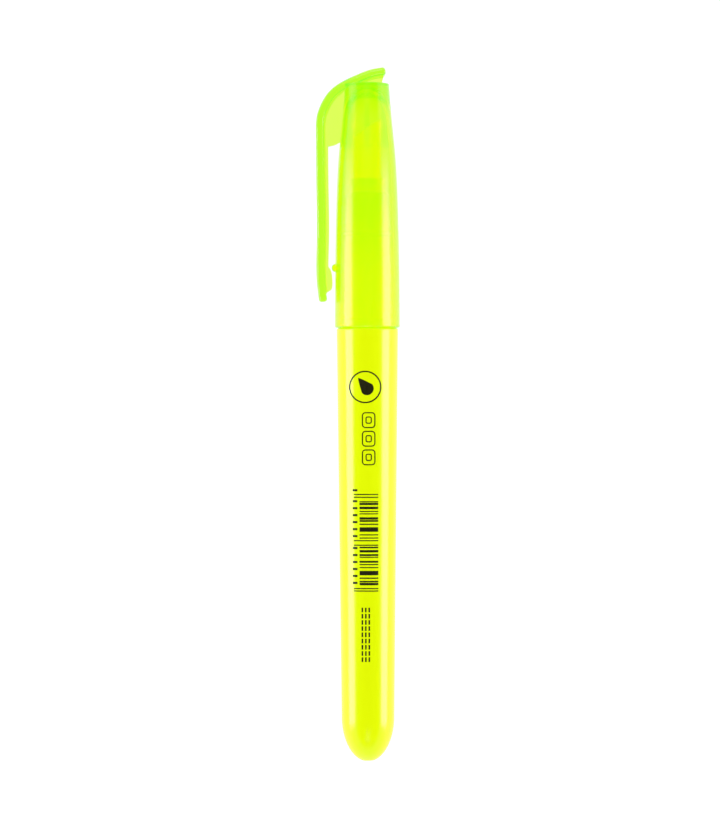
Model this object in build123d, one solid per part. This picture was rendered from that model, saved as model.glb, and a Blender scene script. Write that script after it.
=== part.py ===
from build123d import *
import os

# A slim highlighter with a clip cap, lying on its side. All sizes are millimetres.
#
# Frame: +X runs along the pen towards its tail, +Z is up and the pocket clip points to -Y.
# The origin is on the table, under the pen's axis, midway along the pen.
# A station is a distance from the tail end, measured along the pen.

# Whole pen
overall_length = 137.0
axis_height = 6.42            # the cap's widest radius, which rests on the table

# Barrel
barrel_front = 85.5           # station of the shoulder that the cap stops short of
barrel_front_radius = 6.08
barrel_shoulder_round = 0.45
tail_dome_start = 8.6         # station where the straight taper ends
tail_dome_radius = 5.22
tail_dome_stretch = 8.85      # the dome's half-axis along the pen, cut flat at the tail end
barrel_wall = 1.0
socket_radius = 4.95          # where the nib holder is pressed in
socket_depth = 9.0
stop_rib_thickness = 0.9

# Nib holder
spigot_radius = 4.8
spigot_end = 109.9            # station where the spigot's straight side ends
shoulder_end = 112.3
nose_radius = 3.3
nose_end = 115.0
nose_rim_radius = 3.45
nose_rim_length = 1.4
collar_radius = 5.25          # closes the cap's mouth with a running fit
collar_length = 1.8
bead_radius = 5.06            # holds the cap
bead_station = 104.0
holder_bore_radius = 4.0
nib_socket_start = 108.0

# Nib
nib_width = 5.3               # along Y
nib_thickness = 3.4           # along Z
nib_rear = 105.0
nib_high_tip = 126.7          # station of the long corner, on the +Y side
nib_low_tip = 123.4           # station of the short corner, on the -Y side
nib_bevel_length = 4.2
nib_edge_thickness = 0.5
nib_stem_radius = 1.5
nib_stem_length = 9.0
nib_stem_point = 2.0

# Ink reservoir
reservoir_rear = 9.5
reservoir_radius = 3.6
film_thickness = 0.12
film_setback = 1.0

# Cap
cap_mouth = 85.9
cap_top = 133.8
cap_roof = 131.7              # underside of the flat top
cap_wall = 1.1
cap_mouth_round = 0.35
cap_profile = [               # station and outer radius, from the top to the mouth
    (cap_top, 4.34),
    (127.3, 4.86),
    (120.2, 5.56),
    (112.9, 5.98),
    (103.0, 6.25),
    (94.0, 6.37),
    (cap_mouth, axis_height),
]
cap_rib_thickness = 0.9
cap_rib_inner_radius = 2.95
cap_rib_end = 121.2

# Pocket clip, ridge and web
strap_outer_line = [          # station and Y of the strap's outer face, from the free end to the ridge's end
    (90.6, -9.50),
    (95.0, -9.99),
    (103.0, -9.94),
    (114.0, -10.03),
    (124.0, -10.12),
    (127.2, -9.95),
    (129.6, -9.15),
    (131.9, -7.74),
    (133.1, -6.50),
    (134.3, -4.60),
    (135.5, -2.00),
    (136.6, 1.00),
    (137.0, 3.60),
]
strap_thickness = 1.6
ridge_end_round = 0.6
strap_width_at_ridge = 4.6
strap_width_at_end = 3.8
web_thickness = 1.15
web_neck_y = 2.85             # where the web under the ridge ends, on the +Y side
gusset_low_at_clip = 121.4
gusset_low_at_cap = 122.75
rib_inner_y = -7.64           # inner face of the stiffening rib along the clip
rib_end = 92.4
ball_station = 95.0
ball_length = 5.0
ball_inner_y = -6.95
ball_centre_y = -8.6
nub_station = 97.4
nub_radius = 0.8
nub_centre_y = -6.22
nub_width = 2.4

# Clip hinge, which stands for the flex at the clip's root
pivot_station = 120.0
pivot_y = -8.87
knuckle_radius = 1.24
knuckle_clearance = 0.04


def along(station):
    """X of a station."""
    return overall_length / 2 - station


def turned(outline):
    """A solid of revolution about the pen's axis, from a closed list of (station, radius)."""
    corners = [(along(station), radius) for station, radius in outline]
    return revolve(make_face(Polyline(corners, close=True)), Axis.X)


def tube(start, end, outer, inner):
    """A straight tube between two stations."""
    return turned([(start, inner), (start, outer), (end, outer), (end, inner)])


def rod(start, end, radius):
    """A straight solid cylinder between two stations."""
    return turned([(start, 0), (start, radius), (end, radius), (end, 0)])


def slab(points, thickness):
    """A flat plate in the pen's mid-plane, from a closed list of (station, Y) corners."""
    corners = [(along(station), y) for station, y in points]
    return extrude(make_face(Polyline(corners, close=True)), thickness / 2, both=True)


def barrel_dome(inset):
    """The tail's dome, a half-ellipse of revolution that is cut flat at its end."""
    radius = tail_dome_radius - inset
    stretch = tail_dome_stretch - inset
    whole = Ellipse(stretch, radius) & Pos(0, radius) * Rectangle(4 * stretch, 2 * radius)
    dome = revolve(Pos(along(tail_dome_start), 0) * whole, Axis.X)
    kept = Pos(along(inset) - stretch, 0, 0) * Box(2 * stretch, 4 * radius, 4 * radius)
    return dome & kept


def barrel_taper(inset):
    """The straight taper from the dome to the front shoulder."""
    return turned([
        (tail_dome_start, 0),
        (tail_dome_start, tail_dome_radius - inset),
        (barrel_front, barrel_front_radius - inset),
        (barrel_front, 0),
    ])


def make_barrel():
    """Closed tapered tube with a domed tail, a front socket and stop ribs for the reservoir."""
    outside = barrel_taper(0) + barrel_dome(0)
    outside = fillet(outside.faces().sort_by(Axis.X)[0].edges(), barrel_shoulder_round)
    cavity = barrel_taper(barrel_wall) + barrel_dome(barrel_wall)
    cavity &= Pos(along(barrel_front - socket_depth) + 100, 0, 0) * Box(200, 20, 20)
    stops = Box(200, stop_rib_thickness, 20) + Box(200, 20, stop_rib_thickness)
    stops &= rod(0, reservoir_rear, tail_dome_radius - barrel_wall / 2)
    socket = rod(barrel_front - socket_depth, barrel_front + 1, socket_radius)
    return (outside - cavity - socket) + (stops & outside)


def oblong(start, end):
    """The nib's flat-sided round section, as a prism between two stations."""
    section = SlotOverall(nib_width, nib_thickness)
    face = Plane(origin=(along(end), 0, 0), x_dir=(0, 1, 0), z_dir=(1, 0, 0)) * section
    return extrude(face, end - start)


def make_nib():
    """Chisel nib: an oblong prism cut to a slanted edge, with a round pointed stem behind it."""
    body = oblong(nib_rear, nib_high_tip)
    high = Vector(along(nib_high_tip), nib_width / 2, 0)
    low = Vector(along(nib_low_tip), -nib_width / 2, 0)
    across = (high - low).normalized()
    wedge_plane = Plane(origin=(high + low) / 2, x_dir=Vector(0, 0, 1), z_dir=across)
    backwards = 1 if wedge_plane.y_dir.X > 0 else -1
    wedge = make_face(Polyline([
        (-nib_edge_thickness / 2, 0),
        (nib_edge_thickness / 2, 0),
        (nib_thickness / 2, backwards * nib_bevel_length),
        (nib_thickness / 2, backwards * 40),
        (-nib_thickness / 2, backwards * 40),
        (-nib_thickness / 2, backwards * nib_bevel_length),
    ], close=True))
    wedge = extrude(wedge_plane * wedge, 30, both=True)
    stem_end = nib_rear - nib_stem_length
    stem = turned([
        (nib_rear, 0),
        (nib_rear, nib_stem_radius),
        (stem_end + nib_stem_point, nib_stem_radius),
        (stem_end, 0.3),
        (stem_end, 0),
    ])
    return (body & wedge) + stem


def make_nib_holder():
    """Front section: plug, collar, spigot with a bead, rounded shoulder and nose with a rim."""
    profile = Polyline(
        (along(nose_end), 0),
        (along(nose_end), nose_rim_radius),
        (along(nose_end - nose_rim_length), nose_rim_radius),
        (along(nose_end - nose_rim_length), nose_radius),
        (along(shoulder_end), nose_radius),
    )
    shoulder = EllipticalCenterArc(
        (along(spigot_end), nose_radius),
        shoulder_end - spigot_end,
        spigot_radius - nose_radius,
        start_angle=90,
        arc_size=90,
    )
    rear = Polyline(
        (along(spigot_end), spigot_radius),
        (along(barrel_front + collar_length), spigot_radius),
        (along(barrel_front + collar_length), collar_radius),
        (along(barrel_front), collar_radius),
        (along(barrel_front), socket_radius),
        (along(barrel_front - socket_depth), socket_radius),
        (along(barrel_front - socket_depth), 0),
        (along(nose_end), 0),
    )
    body = revolve(make_face([profile, shoulder, rear]), Axis.X)
    bead = revolve(
        Pos(along(bead_station), spigot_radius - 0.3) * Circle(bead_radius - spigot_radius + 0.3), Axis.X
    )
    bore = rod(barrel_front - socket_depth - 1, nib_socket_start, holder_bore_radius)
    return body + bead - bore - oblong(nib_rear, nose_end + 1)


def make_reservoir(nib):
    """Fibre rod that the nib's stem is pushed into."""
    return rod(reservoir_rear, nib_rear, reservoir_radius) - nib


def make_reservoir_film():
    """Thin tube around the fibre rod."""
    outer = reservoir_radius + film_thickness
    return tube(reservoir_rear + film_setback, nib_rear - film_setback, outer, reservoir_radius)


def cap_outside():
    """The cap's smooth outer form, widest at the mouth."""
    side = Spline([(along(station), radius) for station, radius in cap_profile])
    rest = Polyline(side @ 1, (along(cap_mouth), 0), (along(cap_top), 0), side @ 0)
    form = revolve(make_face([side, rest]), Axis.X)
    return fillet(form.faces().sort_by(Axis.X)[-1].edges(), cap_mouth_round)


def cap_cavity():
    """The cap's hollow, one wall thickness inside its outer form and open at the mouth."""
    inner = [(station, radius - cap_wall) for station, radius in cap_profile]
    side = Spline([(along(station), radius) for station, radius in inner])
    mouth_radius = axis_height - cap_wall
    rest = Polyline(
        side @ 1,
        (along(cap_mouth - 2), mouth_radius),
        (along(cap_mouth - 2), 0),
        (along(cap_top), 0),
        side @ 0,
    )
    hollow = revolve(make_face([side, rest]), Axis.X)
    return hollow & Pos(along(cap_roof) + 50, 0, 0) * Box(100, 20, 20)


def strap_lines():
    """The strap's outer face and, one thickness inside it, its inner face."""
    outer = Spline([(along(station), y) for station, y in strap_outer_line])
    steps = [number / 16 for number in range(17)]
    inner_points = []
    for step in steps:
        tangent = outer % step
        inwards = Vector(tangent.Y, -tangent.X, 0)
        inner_points.append(outer @ step + inwards * strap_thickness)
    return outer, Spline(inner_points)


def make_strap():
    """The clip's flat strap, from its free end over the bend to the ridge's end."""
    outer, inner = strap_lines()
    face = make_face([outer, Line(outer @ 1, inner @ 1), inner, Line(inner @ 0, outer @ 0)])
    strap = extrude(face, strap_width_at_ridge / 2, both=True)
    ridge_end = strap.faces().sort_by(Axis.Y)[-1].edges().filter_by(Axis.Z)
    strap = fillet(ridge_end, ridge_end_round)
    narrow_end = along(strap_outer_line[0][0]) + 1
    wide_end = along(overall_length) - 1
    plan = make_face(Polyline([
        (narrow_end, strap_width_at_end / 2),
        (narrow_end, -strap_width_at_end / 2),
        (wide_end, -strap_width_at_ridge / 2),
        (wide_end, strap_width_at_ridge / 2),
    ], close=True))
    plan = extrude(Plane.XZ * plan, 30, both=True)
    return strap & plan


def make_web():
    """The thin plate in the mid-plane: under the ridge, the gusset, and the rib with its ball."""
    inside_strap = 0.4
    outer, inner = strap_lines()
    top = [inner @ (step / 16) for step in range(9, 16)]
    under_ridge = [(overall_length / 2 - point.X, point.Y) for point in top]
    under_ridge = [(station + inside_strap, y - inside_strap) for station, y in under_ridge]
    plate = slab([
        (gusset_low_at_clip, -8.9),
        *under_ridge,
        (overall_length - strap_thickness, web_neck_y),
        (cap_top - 1.0, web_neck_y),
        (cap_top - 1.0, -3.8),
        (gusset_low_at_cap, -4.8),
        (gusset_low_at_clip + 0.25, rib_inner_y),
    ], web_thickness)
    rib = slab([
        (gusset_low_at_clip + 1.0, -8.9),
        (gusset_low_at_clip + 1.0, rib_inner_y),
        (rib_end, rib_inner_y),
        (rib_end, -8.9),
    ], web_thickness)
    bump = Ellipse(ball_length / 2, ball_inner_y - ball_centre_y)
    bump &= Pos(0, ball_length / 2) * Rectangle(2 * ball_length, ball_length)
    ball = extrude(Pos(along(ball_station), ball_centre_y) * bump, web_thickness / 2, both=True)
    return plate + rib + ball


def make_cap_and_clip():
    """The whole cap moulding, split at the clip's root into the cap and the clip arm."""
    knuckle = Pos(along(pivot_station), pivot_y, 0) * Cylinder(knuckle_radius, 20)
    notch = Pos(along(pivot_station), pivot_y, 0) * Cylinder(knuckle_radius + knuckle_clearance, 20)
    clip_side = Pos(along(pivot_station) + 50, pivot_y, 0) * Box(100, 4, 20)
    outside = cap_outside()
    clip = make_strap() + make_web()
    arm = (clip & clip_side) + (clip & knuckle)
    arm -= outside
    nub = Pos(along(nub_station), nub_centre_y, 0) * Cylinder(nub_radius, nub_width)
    ribs = Box(200, cap_rib_thickness, 20) + Box(200, 20, cap_rib_thickness)
    ribs &= tube(cap_rib_end, cap_roof + 1, 5.6, cap_rib_inner_radius) & outside
    cap = outside + (clip - notch - clip_side) + nub - cap_cavity() + ribs
    return cap, arm


def make_parts():
    """Every piece by its node name, about the pen's axis."""
    nib = make_nib()
    cap, arm = make_cap_and_clip()
    return {
        "barrel": make_barrel(),
        "nib_holder": make_nib_holder(),
        "nib": nib,
        "ink_reservoir": make_reservoir(nib),
        "reservoir_film": make_reservoir_film(),
        "cap": cap,
        "clip_arm": arm,
    }


os.makedirs("parts", exist_ok=True)
for name, solid in make_parts().items():
    placed = Pos(0, 0, axis_height) * solid
    placed.label = name
    export_step(placed, f"parts/{name}.step")
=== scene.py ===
import math
import bpy
import numpy as np
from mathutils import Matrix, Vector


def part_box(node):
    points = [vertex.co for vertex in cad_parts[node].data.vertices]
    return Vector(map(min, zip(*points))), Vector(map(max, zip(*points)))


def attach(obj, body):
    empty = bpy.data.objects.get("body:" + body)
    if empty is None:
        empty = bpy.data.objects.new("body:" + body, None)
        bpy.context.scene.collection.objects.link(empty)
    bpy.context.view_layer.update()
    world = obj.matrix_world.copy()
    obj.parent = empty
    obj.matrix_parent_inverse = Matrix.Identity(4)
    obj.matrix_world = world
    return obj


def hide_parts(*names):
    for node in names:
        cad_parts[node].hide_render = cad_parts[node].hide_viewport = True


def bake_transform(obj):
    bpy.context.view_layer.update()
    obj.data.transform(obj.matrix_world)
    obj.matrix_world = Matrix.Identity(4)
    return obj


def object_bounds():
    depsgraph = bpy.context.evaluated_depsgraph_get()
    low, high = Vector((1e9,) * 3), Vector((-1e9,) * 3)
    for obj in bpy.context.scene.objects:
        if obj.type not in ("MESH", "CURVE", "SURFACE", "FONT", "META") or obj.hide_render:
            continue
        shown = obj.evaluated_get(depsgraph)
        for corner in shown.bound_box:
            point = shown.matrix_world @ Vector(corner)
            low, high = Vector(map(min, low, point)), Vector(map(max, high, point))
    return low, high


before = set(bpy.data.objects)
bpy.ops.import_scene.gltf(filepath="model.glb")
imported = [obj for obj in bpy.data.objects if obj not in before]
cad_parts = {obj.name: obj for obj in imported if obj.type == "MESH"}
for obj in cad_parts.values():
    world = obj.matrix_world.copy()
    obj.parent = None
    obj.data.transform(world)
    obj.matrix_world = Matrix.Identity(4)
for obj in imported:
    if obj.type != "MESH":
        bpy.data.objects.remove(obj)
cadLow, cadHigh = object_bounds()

# A slim capped highlighter lying on its side. Lengths in the dictionaries are millimetres,
# and a station is a distance from the tail end, measured along the pen.
mm = 0.001
barrelLow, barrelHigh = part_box("barrel")
tailX = barrelHigh.x
axisZ = (barrelLow.z + barrelHigh.z) / 2
penLength = (tailX - cadLow.x) / mm
print("frame: pen length", round(penLength, 1), "mm, axis height", round(axisZ / mm, 2), "mm")


# curves and grids

def along(station):
    # X of a station: the tail's X less the station
    return tailX - np.asarray(station) * mm


def arc(centre, radii, startDeg, endDeg, steps):
    # points on an ellipse: the centre, plus the first radius times the cosine of each evenly spaced angle
    # and the second radius times its sine
    angle = np.radians(np.linspace(startDeg, endDeg, steps))
    return np.column_stack([centre[0] + radii[0] * np.cos(angle), centre[1] + radii[1] * np.sin(angle)])


def line(start, end, steps=2):
    # points evenly spaced from start to end
    share = np.linspace(0, 1, steps)[:, None]
    return np.asarray(start) * (1 - share) + np.asarray(end) * share


def joined(*runs):
    # runs of points end to end, with a point left out where it repeats the one before it
    points = np.vstack(runs)
    apart = np.linalg.norm(np.diff(points, axis=0), axis=1) > 1e-6
    return points[np.r_[True, apart]]


def distances(points):
    # distance walked to each point: the running sum of the straight steps between points
    return np.r_[0, np.cumsum(np.linalg.norm(np.diff(points, axis=0), axis=1))]


def readAlong(where, walked, points):
    # points at given distances along a line, read in proportion between the line's own points
    return np.column_stack([np.interp(where, walked, points[:, axis]) for axis in (0, 1)])


def fullTurn(steps):
    # evenly spaced angles once round, ending one step short of the first
    return np.linspace(0, 2 * math.pi, steps, endpoint=False)


def smoothCurve(points, count):
    # natural cubic spline through the points, with chord length as its parameter
    points = np.asarray(points, float)
    chord = distances(points)
    gap, rows = np.diff(chord), len(points)
    system, right = np.eye(rows), np.zeros((rows, points.shape[1]))
    inner = np.arange(1, rows - 1)
    system[inner, inner - 1] = gap[:-1]
    system[inner, inner] = 2 * (gap[:-1] + gap[1:])
    system[inner, inner + 1] = gap[1:]
    slope = np.diff(points, axis=0) / gap[:, None]
    right[1:-1] = 6 * np.diff(slope, axis=0)
    bend = np.linalg.solve(system, right)
    where = np.linspace(0, chord[-1], count)
    span = np.clip(np.searchsorted(chord, where) - 1, 0, rows - 2)
    before, after, width = where - chord[span], chord[span + 1] - where, gap[span]
    before, after, width = before[:, None], after[:, None], width[:, None]
    return (
        (bend[span] * after**3 + bend[span + 1] * before**3) / (6 * width)
        + (points[span] / width - bend[span] * width / 6) * after
        + (points[span + 1] / width - bend[span + 1] * width / 6) * before
    )


def smoothStep(value, low, high):
    # 0 below low, 1 above high, and 3t^2 - 2t^3 between them
    share = np.clip((value - low) / (high - low), 0, 1)
    return share * share * (3 - 2 * share)


def addObject(name, data):
    # a new object in the scene that holds the data
    made = bpy.data.objects.new(name, data)
    bpy.context.scene.collection.objects.link(made)
    return made


def addMesh(name, vertices, faces, sharpDeg):
    # a mesh in the scene, smooth but for edges sharper than sharpDeg
    mesh = bpy.data.meshes.new(name)
    mesh.from_pydata(vertices.tolist(), [], faces)
    mesh.validate()
    mesh.shade_smooth()
    mesh.set_sharp_from_angle(angle=math.radians(sharpDeg))
    return addObject(name, mesh)


def gridQuads(rows, columns, wrap):
    # quads between neighbouring rings of points, closed round each ring; with wrap, the last ring joins
    # the first
    row = np.arange(rows if wrap else rows - 1)[:, None]
    column = np.arange(columns)[None, :]
    nextRow, nextColumn = (row + 1) % rows, (column + 1) % columns
    return np.stack([
        row * columns + column, row * columns + nextColumn,
        nextRow * columns + nextColumn, nextRow * columns + column,
    ], axis=-1).reshape(-1, 4)


def gridMesh(name, grid, startTip=None, endTip=None, ring=False, sharpDeg=40):
    # a closed skin over rings of points: quads between rings, and at each end a fan to a tip or one
    # flat face; with ring, the last ring joins the first and there are no ends. The faces point outwards:
    # all are turned over when the sum of each quad's offset from the middle times its normal is negative
    rows, columns = grid.shape[:2]
    vertices = grid.reshape(-1, 3)
    quads = gridQuads(rows, columns, ring)
    faces = quads.tolist()
    first, last = np.arange(columns), (rows - 1) * columns + np.arange(columns)
    ends = () if ring else ((startTip, first[::-1]), (endTip, last))
    for tip, loop in ends:
        if tip is None:
            faces.append(loop.tolist())
        else:
            centre = len(vertices)
            vertices = np.vstack([vertices, tip])
            faces += np.column_stack([loop, np.roll(loop, -1), np.full(columns, centre)]).tolist()
    corner = vertices[quads]
    spread = np.cross(corner[:, 2] - corner[:, 0], corner[:, 3] - corner[:, 1])
    outward = np.einsum("ij,ij->", corner.mean(axis=1) - vertices.mean(axis=0), spread)
    if outward < 0:
        faces = [face[::-1] for face in faces]
    return addMesh(name, vertices, faces, sharpDeg)


def ringGrid(stations, radii, angle):
    # rings about the pen's axis: Y is the radius times the angle's sine, and Z is the axis's height
    # plus the radius times its cosine
    reach = radii * mm
    x = np.repeat(along(stations)[:, None], len(angle), axis=1)
    return np.stack([x, reach * np.sin(angle), axisZ + reach * np.cos(angle)], axis=-1)


def turned(name, profile, steps=160, sharpDeg=40, ring=False):
    # a surface of revolution: each (station, radius) of the profile becomes a ring, and an end on the
    # axis becomes a pole
    poles = (not ring and profile[0, 1] < 1e-9, not ring and profile[-1, 1] < 1e-9)
    tips = [np.array([along(profile[end, 0]), 0, axisZ]) if poles[end] else None for end in (0, -1)]
    body = profile[int(poles[0]):len(profile) - int(poles[1])]
    grid = ringGrid(body[:, 0], body[:, 1:2], fullTurn(steps))
    return gridMesh(name, grid, tips[0], tips[1], ring, sharpDeg)


def united(piece, others, sharpDeg=35):
    # one closed moulding from overlapping closed skins
    for other in others:
        step = piece.modifiers.new("joinMoulding", "BOOLEAN")
        step.operation, step.solver, step.object = "UNION", "EXACT", other
    evaluated = piece.evaluated_get(bpy.context.evaluated_depsgraph_get())
    whole = bpy.data.meshes.new_from_object(evaluated)
    piece.modifiers.clear()
    piece.data = whole
    for other in others:
        bpy.data.objects.remove(other)
    whole.shade_smooth()
    whole.set_sharp_from_angle(angle=math.radians(sharpDeg))
    return piece


# effects shared by several finishes

def newGroup(name, inputs, outputs):
    # an empty shader group with named sockets: (name, kind, start value)
    group = bpy.data.node_groups.new(name, "ShaderNodeTree")
    for label, kind, value in inputs:
        socket = group.interface.new_socket(label, in_out="INPUT", socket_type=kind)
        if value is not None:
            socket.default_value = value
    for label, kind in outputs:
        group.interface.new_socket(label, in_out="OUTPUT", socket_type=kind)
    return group, group.nodes.new("NodeGroupInput"), group.nodes.new("NodeGroupOutput")


def addNode(tree, kind, settings=None, **values):
    # one node with its settings and socket values
    node = tree.nodes.new(kind)
    for key, value in (settings or {}).items():
        setattr(node, key, value)
    for key, value in values.items():
        node.inputs[key].default_value = value
    return node


def mathNode(tree, operation, first, second):
    # a two-value sum, product or power, where each side is a socket or a number
    node = tree.nodes.new("ShaderNodeMath")
    node.operation = operation
    for slot, side in enumerate((first, second)):
        if isinstance(side, (int, float)):
            node.inputs[slot].default_value = side
        else:
            tree.links.new(side, node.inputs[slot])
    return node.outputs[0]


grainShape = {
    "alongPen": 0.18, "flowDetail": 2.0, "flowRoughness": 0.5,
    "fineDetail": 3.0, "fineRoughness": 0.6, "fineShare": 0.35, "glossFrom": 0.3, "glossTo": 0.7,
}


def makeMouldedGrain(values):
    # moulded plastic: long flow waves along the part plus a share of fine grain as a height, and the
    # flow waves alone as a change of gloss
    group, given, result = newGroup(
        "mouldedGrain",
        [("Vector", "NodeSocketVector", None), ("Grain Scale", "NodeSocketFloat", 2200.0),
         ("Flow Scale", "NodeSocketFloat", 90.0), ("Gloss Low", "NodeSocketFloat", 0.2),
         ("Gloss High", "NodeSocketFloat", 0.3)],
        [("Height", "NodeSocketFloat"), ("Roughness", "NodeSocketFloat")],
    )
    stretch = addNode(group, "ShaderNodeMapping", Scale=(values["alongPen"], 1, 1))
    flow = addNode(group, "ShaderNodeTexNoise",
                   Detail=values["flowDetail"], Roughness=values["flowRoughness"])
    grain = addNode(group, "ShaderNodeTexNoise",
                    Detail=values["fineDetail"], Roughness=values["fineRoughness"])
    group.links.new(given.outputs["Vector"], stretch.inputs["Vector"])
    group.links.new(stretch.outputs["Vector"], flow.inputs["Vector"])
    group.links.new(given.outputs["Vector"], grain.inputs["Vector"])
    group.links.new(given.outputs["Flow Scale"], flow.inputs["Scale"])
    group.links.new(given.outputs["Grain Scale"], grain.inputs["Scale"])
    fine = mathNode(group, "MULTIPLY", grain.outputs["Fac"], values["fineShare"])
    group.links.new(mathNode(group, "ADD", flow.outputs["Fac"], fine), result.inputs["Height"])
    gloss = addNode(group, "ShaderNodeMapRange", **{
        "From Min": values["glossFrom"], "From Max": values["glossTo"]})
    group.links.new(flow.outputs["Fac"], gloss.inputs["Value"])
    group.links.new(given.outputs["Gloss Low"], gloss.inputs["To Min"])
    group.links.new(given.outputs["Gloss High"], gloss.inputs["To Max"])
    group.links.new(gloss.outputs["Result"], result.inputs["Roughness"])
    return group


cloudShape = {"detail": 3.0, "roughness": 0.55}


def makeDyeDrift(values):
    # fluorescent dye that is a little stronger here and weaker there: a slow mix of two colours
    group, given, result = newGroup(
        "dyeDrift",
        [("Vector", "NodeSocketVector", None), ("Scale", "NodeSocketFloat", 60.0),
         ("Weak", "NodeSocketColor", (1, 1, 1, 1)), ("Strong", "NodeSocketColor", (1, 1, 1, 1))],
        [("Color", "NodeSocketColor")],
    )
    cloud = addNode(group, "ShaderNodeTexNoise", Detail=values["detail"], Roughness=values["roughness"])
    blend = addNode(group, "ShaderNodeMix", {"data_type": "RGBA"})
    group.links.new(given.outputs["Vector"], cloud.inputs["Vector"])
    group.links.new(given.outputs["Scale"], cloud.inputs["Scale"])
    group.links.new(cloud.outputs["Fac"], blend.inputs["Factor"])
    group.links.new(given.outputs["Weak"], blend.inputs["A"])
    group.links.new(given.outputs["Strong"], blend.inputs["B"])
    group.links.new(blend.outputs["Result"], result.inputs["Color"])
    return group


fibreShape = {"alongPen": 0.08, "detail": 4.0, "roughness": 0.65}


def makeFibreBundle(values):
    # porous fibre: fine streaks along the pen times pores as a mask, and streaks plus the mask as a height
    group, given, result = newGroup(
        "fibreBundle",
        [("Vector", "NodeSocketVector", None), ("Fibre Scale", "NodeSocketFloat", 3000.0),
         ("Pore Scale", "NodeSocketFloat", 5000.0)],
        [("Mask", "NodeSocketFloat"), ("Height", "NodeSocketFloat")],
    )
    stretch = addNode(group, "ShaderNodeMapping", Scale=(values["alongPen"], 1, 1))
    streak = addNode(group, "ShaderNodeTexNoise", Detail=values["detail"], Roughness=values["roughness"])
    pore = addNode(group, "ShaderNodeTexVoronoi")
    group.links.new(given.outputs["Vector"], stretch.inputs["Vector"])
    group.links.new(stretch.outputs["Vector"], streak.inputs["Vector"])
    group.links.new(given.outputs["Vector"], pore.inputs["Vector"])
    group.links.new(given.outputs["Fibre Scale"], streak.inputs["Scale"])
    group.links.new(given.outputs["Pore Scale"], pore.inputs["Scale"])
    mask = mathNode(group, "MULTIPLY", streak.outputs["Fac"], pore.outputs["Distance"])
    group.links.new(mask, result.inputs["Mask"])
    group.links.new(mathNode(group, "ADD", streak.outputs["Fac"], mask), result.inputs["Height"])
    return group


mouldedGrain = makeMouldedGrain(grainShape)
dyeDrift = makeDyeDrift(cloudShape)
fibreBundle = makeFibreBundle(fibreShape)
print("effects: moulded grain, dye drift, fibre bundle")


# finishes

def startFinish(name):
    # a material with its shader, and the piece's own Object coordinates
    material = bpy.data.materials.new(name)
    material.use_nodes = True
    tree = material.node_tree
    shader = next(node for node in tree.nodes if node.type == "BSDF_PRINCIPLED")
    place = tree.nodes.new("ShaderNodeTexCoord").outputs["Object"]
    return material, tree, shader, place


def useGroup(tree, group, place, **values):
    # a shared effect placed in a material with its own values
    node = tree.nodes.new("ShaderNodeGroup")
    node.node_tree = group
    tree.links.new(place, node.inputs["Vector"])
    for key, value in values.items():
        node.inputs[key].default_value = value
    return node


def addBump(tree, shader, height, values):
    # a height turned into a tilt of the surface
    bump = addNode(tree, "ShaderNodeBump", Distance=values["bumpDistance"], Strength=values["bumpStrength"])
    tree.links.new(height, bump.inputs["Height"])
    tree.links.new(bump.outputs["Normal"], shader.inputs["Normal"])


def addGrain(tree, shader, place, values):
    # moulded plastic's gloss and bump
    grain = useGroup(tree, mouldedGrain, place, **{
        "Grain Scale": values["grainScale"], "Flow Scale": values["flowScale"],
        "Gloss Low": values["glossLow"], "Gloss High": values["glossHigh"]})
    tree.links.new(grain.outputs["Roughness"], shader.inputs["Roughness"])
    addBump(tree, shader, grain.outputs["Height"], values)


def addDye(tree, shader, place, values):
    # a base colour that drifts between the weak and the strong dye
    drift = useGroup(tree, dyeDrift, place, **{
        "Scale": values["driftScale"], "Weak": values["weak"], "Strong": values["strong"]})
    tree.links.new(drift.outputs["Color"], shader.inputs["Base Color"])


def setSockets(shader, values):
    # constant values on the shader's own sockets
    for key, value in values.items():
        shader.inputs[key].default_value = value


def setGlow(shader, values):
    # self-lit colour: on the dyed plastics a painted glow that stands in for the dye's fluorescence and
    # lifts them in shade; on the table its even brightness
    setSockets(shader, {"Emission Color": values["glowColor"], "Emission Strength": values["glow"]})


# glow and glowColor: a painted glow that stands in for the dye's fluorescence and also brightens the barrel
# in its shade
barrelFinish = {
    "weak": (0.78, 0.93, 0.0012, 1), "strong": (0.73, 0.90, 0.0008, 1), "driftScale": 45.0,
    "glowColor": (0.78, 1.0, 0.0, 1), "glow": 0.1,
    "glossLow": 0.16, "glossHigh": 0.22, "grainScale": 2600.0, "flowScale": 70.0,
    "bumpDistance": 0.00002, "bumpStrength": 0.35, "ior": 1.5,
}

# glow and glowColor: a painted glow that brightens the nib holder inside the cap, standing in for
# fluorescence
holderFinish = {
    "weak": (0.86, 0.93, 0.006, 1), "strong": (0.80, 0.88, 0.003, 1), "driftScale": 80.0,
    "glowColor": (0.95, 0.9, 0.0, 1), "glow": 0.3,
    "glossLow": 0.25, "glossHigh": 0.35, "grainScale": 2600.0, "flowScale": 120.0,
    "bumpDistance": 0.00002, "bumpStrength": 0.3, "ior": 1.5,
}


def makeSolidPlastic(name, values):
    # dyed plastic that no light passes through
    material, tree, shader, place = startFinish(name)
    addGrain(tree, shader, place, values)
    addDye(tree, shader, place, values)
    setSockets(shader, {"IOR": values["ior"]})
    setGlow(shader, values)
    return material


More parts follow.
